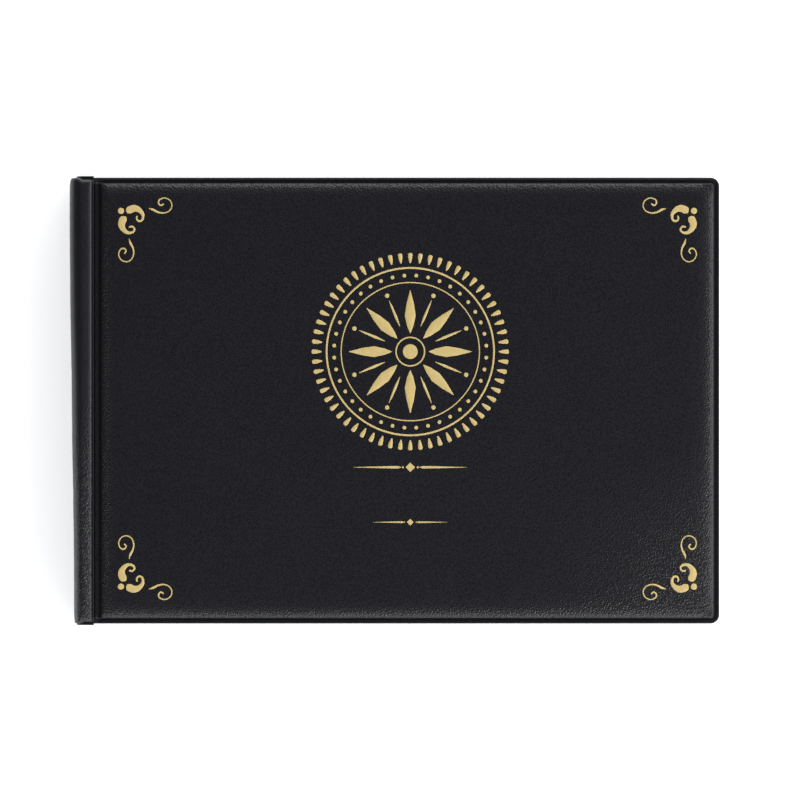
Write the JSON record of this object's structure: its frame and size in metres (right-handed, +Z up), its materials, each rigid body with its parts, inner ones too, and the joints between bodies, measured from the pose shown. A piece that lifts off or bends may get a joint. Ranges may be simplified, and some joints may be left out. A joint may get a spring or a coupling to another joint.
{
  "type": "coin album",
  "caption": "Small landscape album with a padded leatherette cover that folds at the spine and clear leaves of slotted coin pockets.",
  "frame": {"origin": "centre of the bottom of the closed album's box, on the table that the back cover lies on", "axes": "+X from the spine to the fore edge, +Y up the page, +Z up through the thickness, out of the front cover"},
  "size_m": [0.21, 0.145, 0.025],
  "materials": {
    "leatherette": "grained, semi-gloss black PVC leatherette with gold foil",
    "foam": "soft open-cell foam",
    "board": "raw grey board",
    "lining": "smooth satin black PVC sheet",
    "binding": "satin black PVC tape",
    "base_film": "clear glossy PVC film",
    "pocket_film": "clear glossy PVC film with welded pockets"
  },
  "bodies": {
    "back_cover": {"back_hinge_skin": "leatherette", "back_hinge_foam": "foam", "back_hinge_lining": "lining", "back_cover_skin": "leatherette", "back_cover_foam": "foam", "back_cover_board": "board", "back_cover_lining": "lining"},
    "spine": {"spine_skin": "leatherette", "spine_foam": "foam", "spine_board": "board", "spine_lining": "lining", "spine_binding_strip": "binding"},
    "front_hinge": {"front_hinge_skin": "leatherette", "front_hinge_foam": "foam", "front_hinge_lining": "lining"},
    "front_cover": {"front_cover_skin": "leatherette", "front_cover_foam": "foam", "front_cover_board": "board", "front_cover_lining": "lining"},
    "page_01": {"page_01_base": "base_film", "page_01_pockets": "pocket_film"},
    "page_02": {"page_02_base": "base_film", "page_02_pockets": "pocket_film"},
    "page_03": {"page_03_base": "base_film", "page_03_pockets": "pocket_film"},
    "page_04": {"page_04_base": "base_film", "page_04_pockets": "pocket_film"},
    "page_05": {"page_05_base": "base_film", "page_05_pockets": "pocket_film"},
    "page_06": {"page_06_base": "base_film", "page_06_pockets": "pocket_film"},
    "page_07": {"page_07_base": "base_film", "page_07_pockets": "pocket_film"},
    "page_08": {"page_08_base": "base_film", "page_08_pockets": "pocket_film"},
    "page_09": {"page_09_base": "base_film", "page_09_pockets": "pocket_film"},
    "page_10": {"page_10_base": "base_film", "page_10_pockets": "pocket_film"}
  },
  "joints": [
    {"name": "spine_fold", "type": "hinge", "parent": "back_cover", "child": "spine", "pos_m": [-0.1038, 0, 0.0012], "axis": [0, 1, 0], "range_deg": [-90, 0]},
    {"name": "front_hinge_fold", "type": "hinge", "parent": "spine", "child": "front_hinge", "pos_m": [-0.1038, 0, 0.0238], "axis": [0, -1, 0], "range_deg": [0, 90]},
    {"name": "front_cover_fold", "type": "hinge", "parent": "front_hinge", "child": "front_cover", "pos_m": [-0.0956, 0, 0.0253], "axis": [0, -1, 0], "range_deg": [0, 176]},
    {"name": "page_01_turn", "type": "hinge", "parent": "spine", "child": "page_01", "pos_m": [-0.10065, 0, 0.02048], "axis": [0, -1, 0], "range_deg": [0, 72]},
    {"name": "page_02_turn", "type": "hinge", "parent": "spine", "child": "page_02", "pos_m": [-0.10065, 0, 0.01864], "axis": [0, -1, 0], "range_deg": [0, 56]},
    {"name": "page_03_turn", "type": "hinge", "parent": "spine", "child": "page_03", "pos_m": [-0.10065, 0, 0.0168], "axis": [0, -1, 0], "range_deg": [0, 40]},
    {"name": "page_04_turn", "type": "hinge", "parent": "spine", "child": "page_04", "pos_m": [-0.10065, 0, 0.01496], "axis": [0, -1, 0], "range_deg": [0, 24]},
    {"name": "page_05_turn", "type": "hinge", "parent": "spine", "child": "page_05", "pos_m": [-0.10065, 0, 0.01312], "axis": [0, -1, 0], "range_deg": [0, 8]},
    {"name": "page_06_turn", "type": "hinge", "parent": "spine", "child": "page_06", "pos_m": [-0.10065, 0, 0.01128], "axis": [0, -1, 0], "range_deg": [-8, 0]},
    {"name": "page_07_turn", "type": "hinge", "parent": "spine", "child": "page_07", "pos_m": [-0.10065, 0, 0.00944], "axis": [0, -1, 0], "range_deg": [-24, 0]},
    {"name": "page_08_turn", "type": "hinge", "parent": "spine", "child": "page_08", "pos_m": [-0.10065, 0, 0.0076], "axis": [0, -1, 0], "range_deg": [-40, 0]},
    {"name": "page_09_turn", "type": "hinge", "parent": "spine", "child": "page_09", "pos_m": [-0.10065, 0, 0.00576], "axis": [0, -1, 0], "range_deg": [-56, 0]},
    {"name": "page_10_turn", "type": "hinge", "parent": "spine", "child": "page_10", "pos_m": [-0.10065, 0, 0.00392], "axis": [0, -1, 0], "range_deg": [-72, 0]}
  ],
  "couplings": [
    {"joint": "front_hinge_fold", "follows": "spine_fold", "ratio": -1},
    {"joint": "page_01_turn", "follows": "spine_fold", "ratio": -0.8},
    {"joint": "page_02_turn", "follows": "spine_fold", "ratio": -0.6222},
    {"joint": "page_03_turn", "follows": "spine_fold", "ratio": -0.4444},
    {"joint": "page_04_turn", "follows": "spine_fold", "ratio": -0.2667},
    {"joint": "page_05_turn", "follows": "spine_fold", "ratio": -0.0889},
    {"joint": "page_06_turn", "follows": "spine_fold", "ratio": 0.0889},
    {"joint": "page_07_turn", "follows": "spine_fold", "ratio": 0.2667},
    {"joint": "page_08_turn", "follows": "spine_fold", "ratio": 0.4444},
    {"joint": "page_09_turn", "follows": "spine_fold", "ratio": 0.6222},
    {"joint": "page_10_turn", "follows": "spine_fold", "ratio": 0.8}
  ]
}
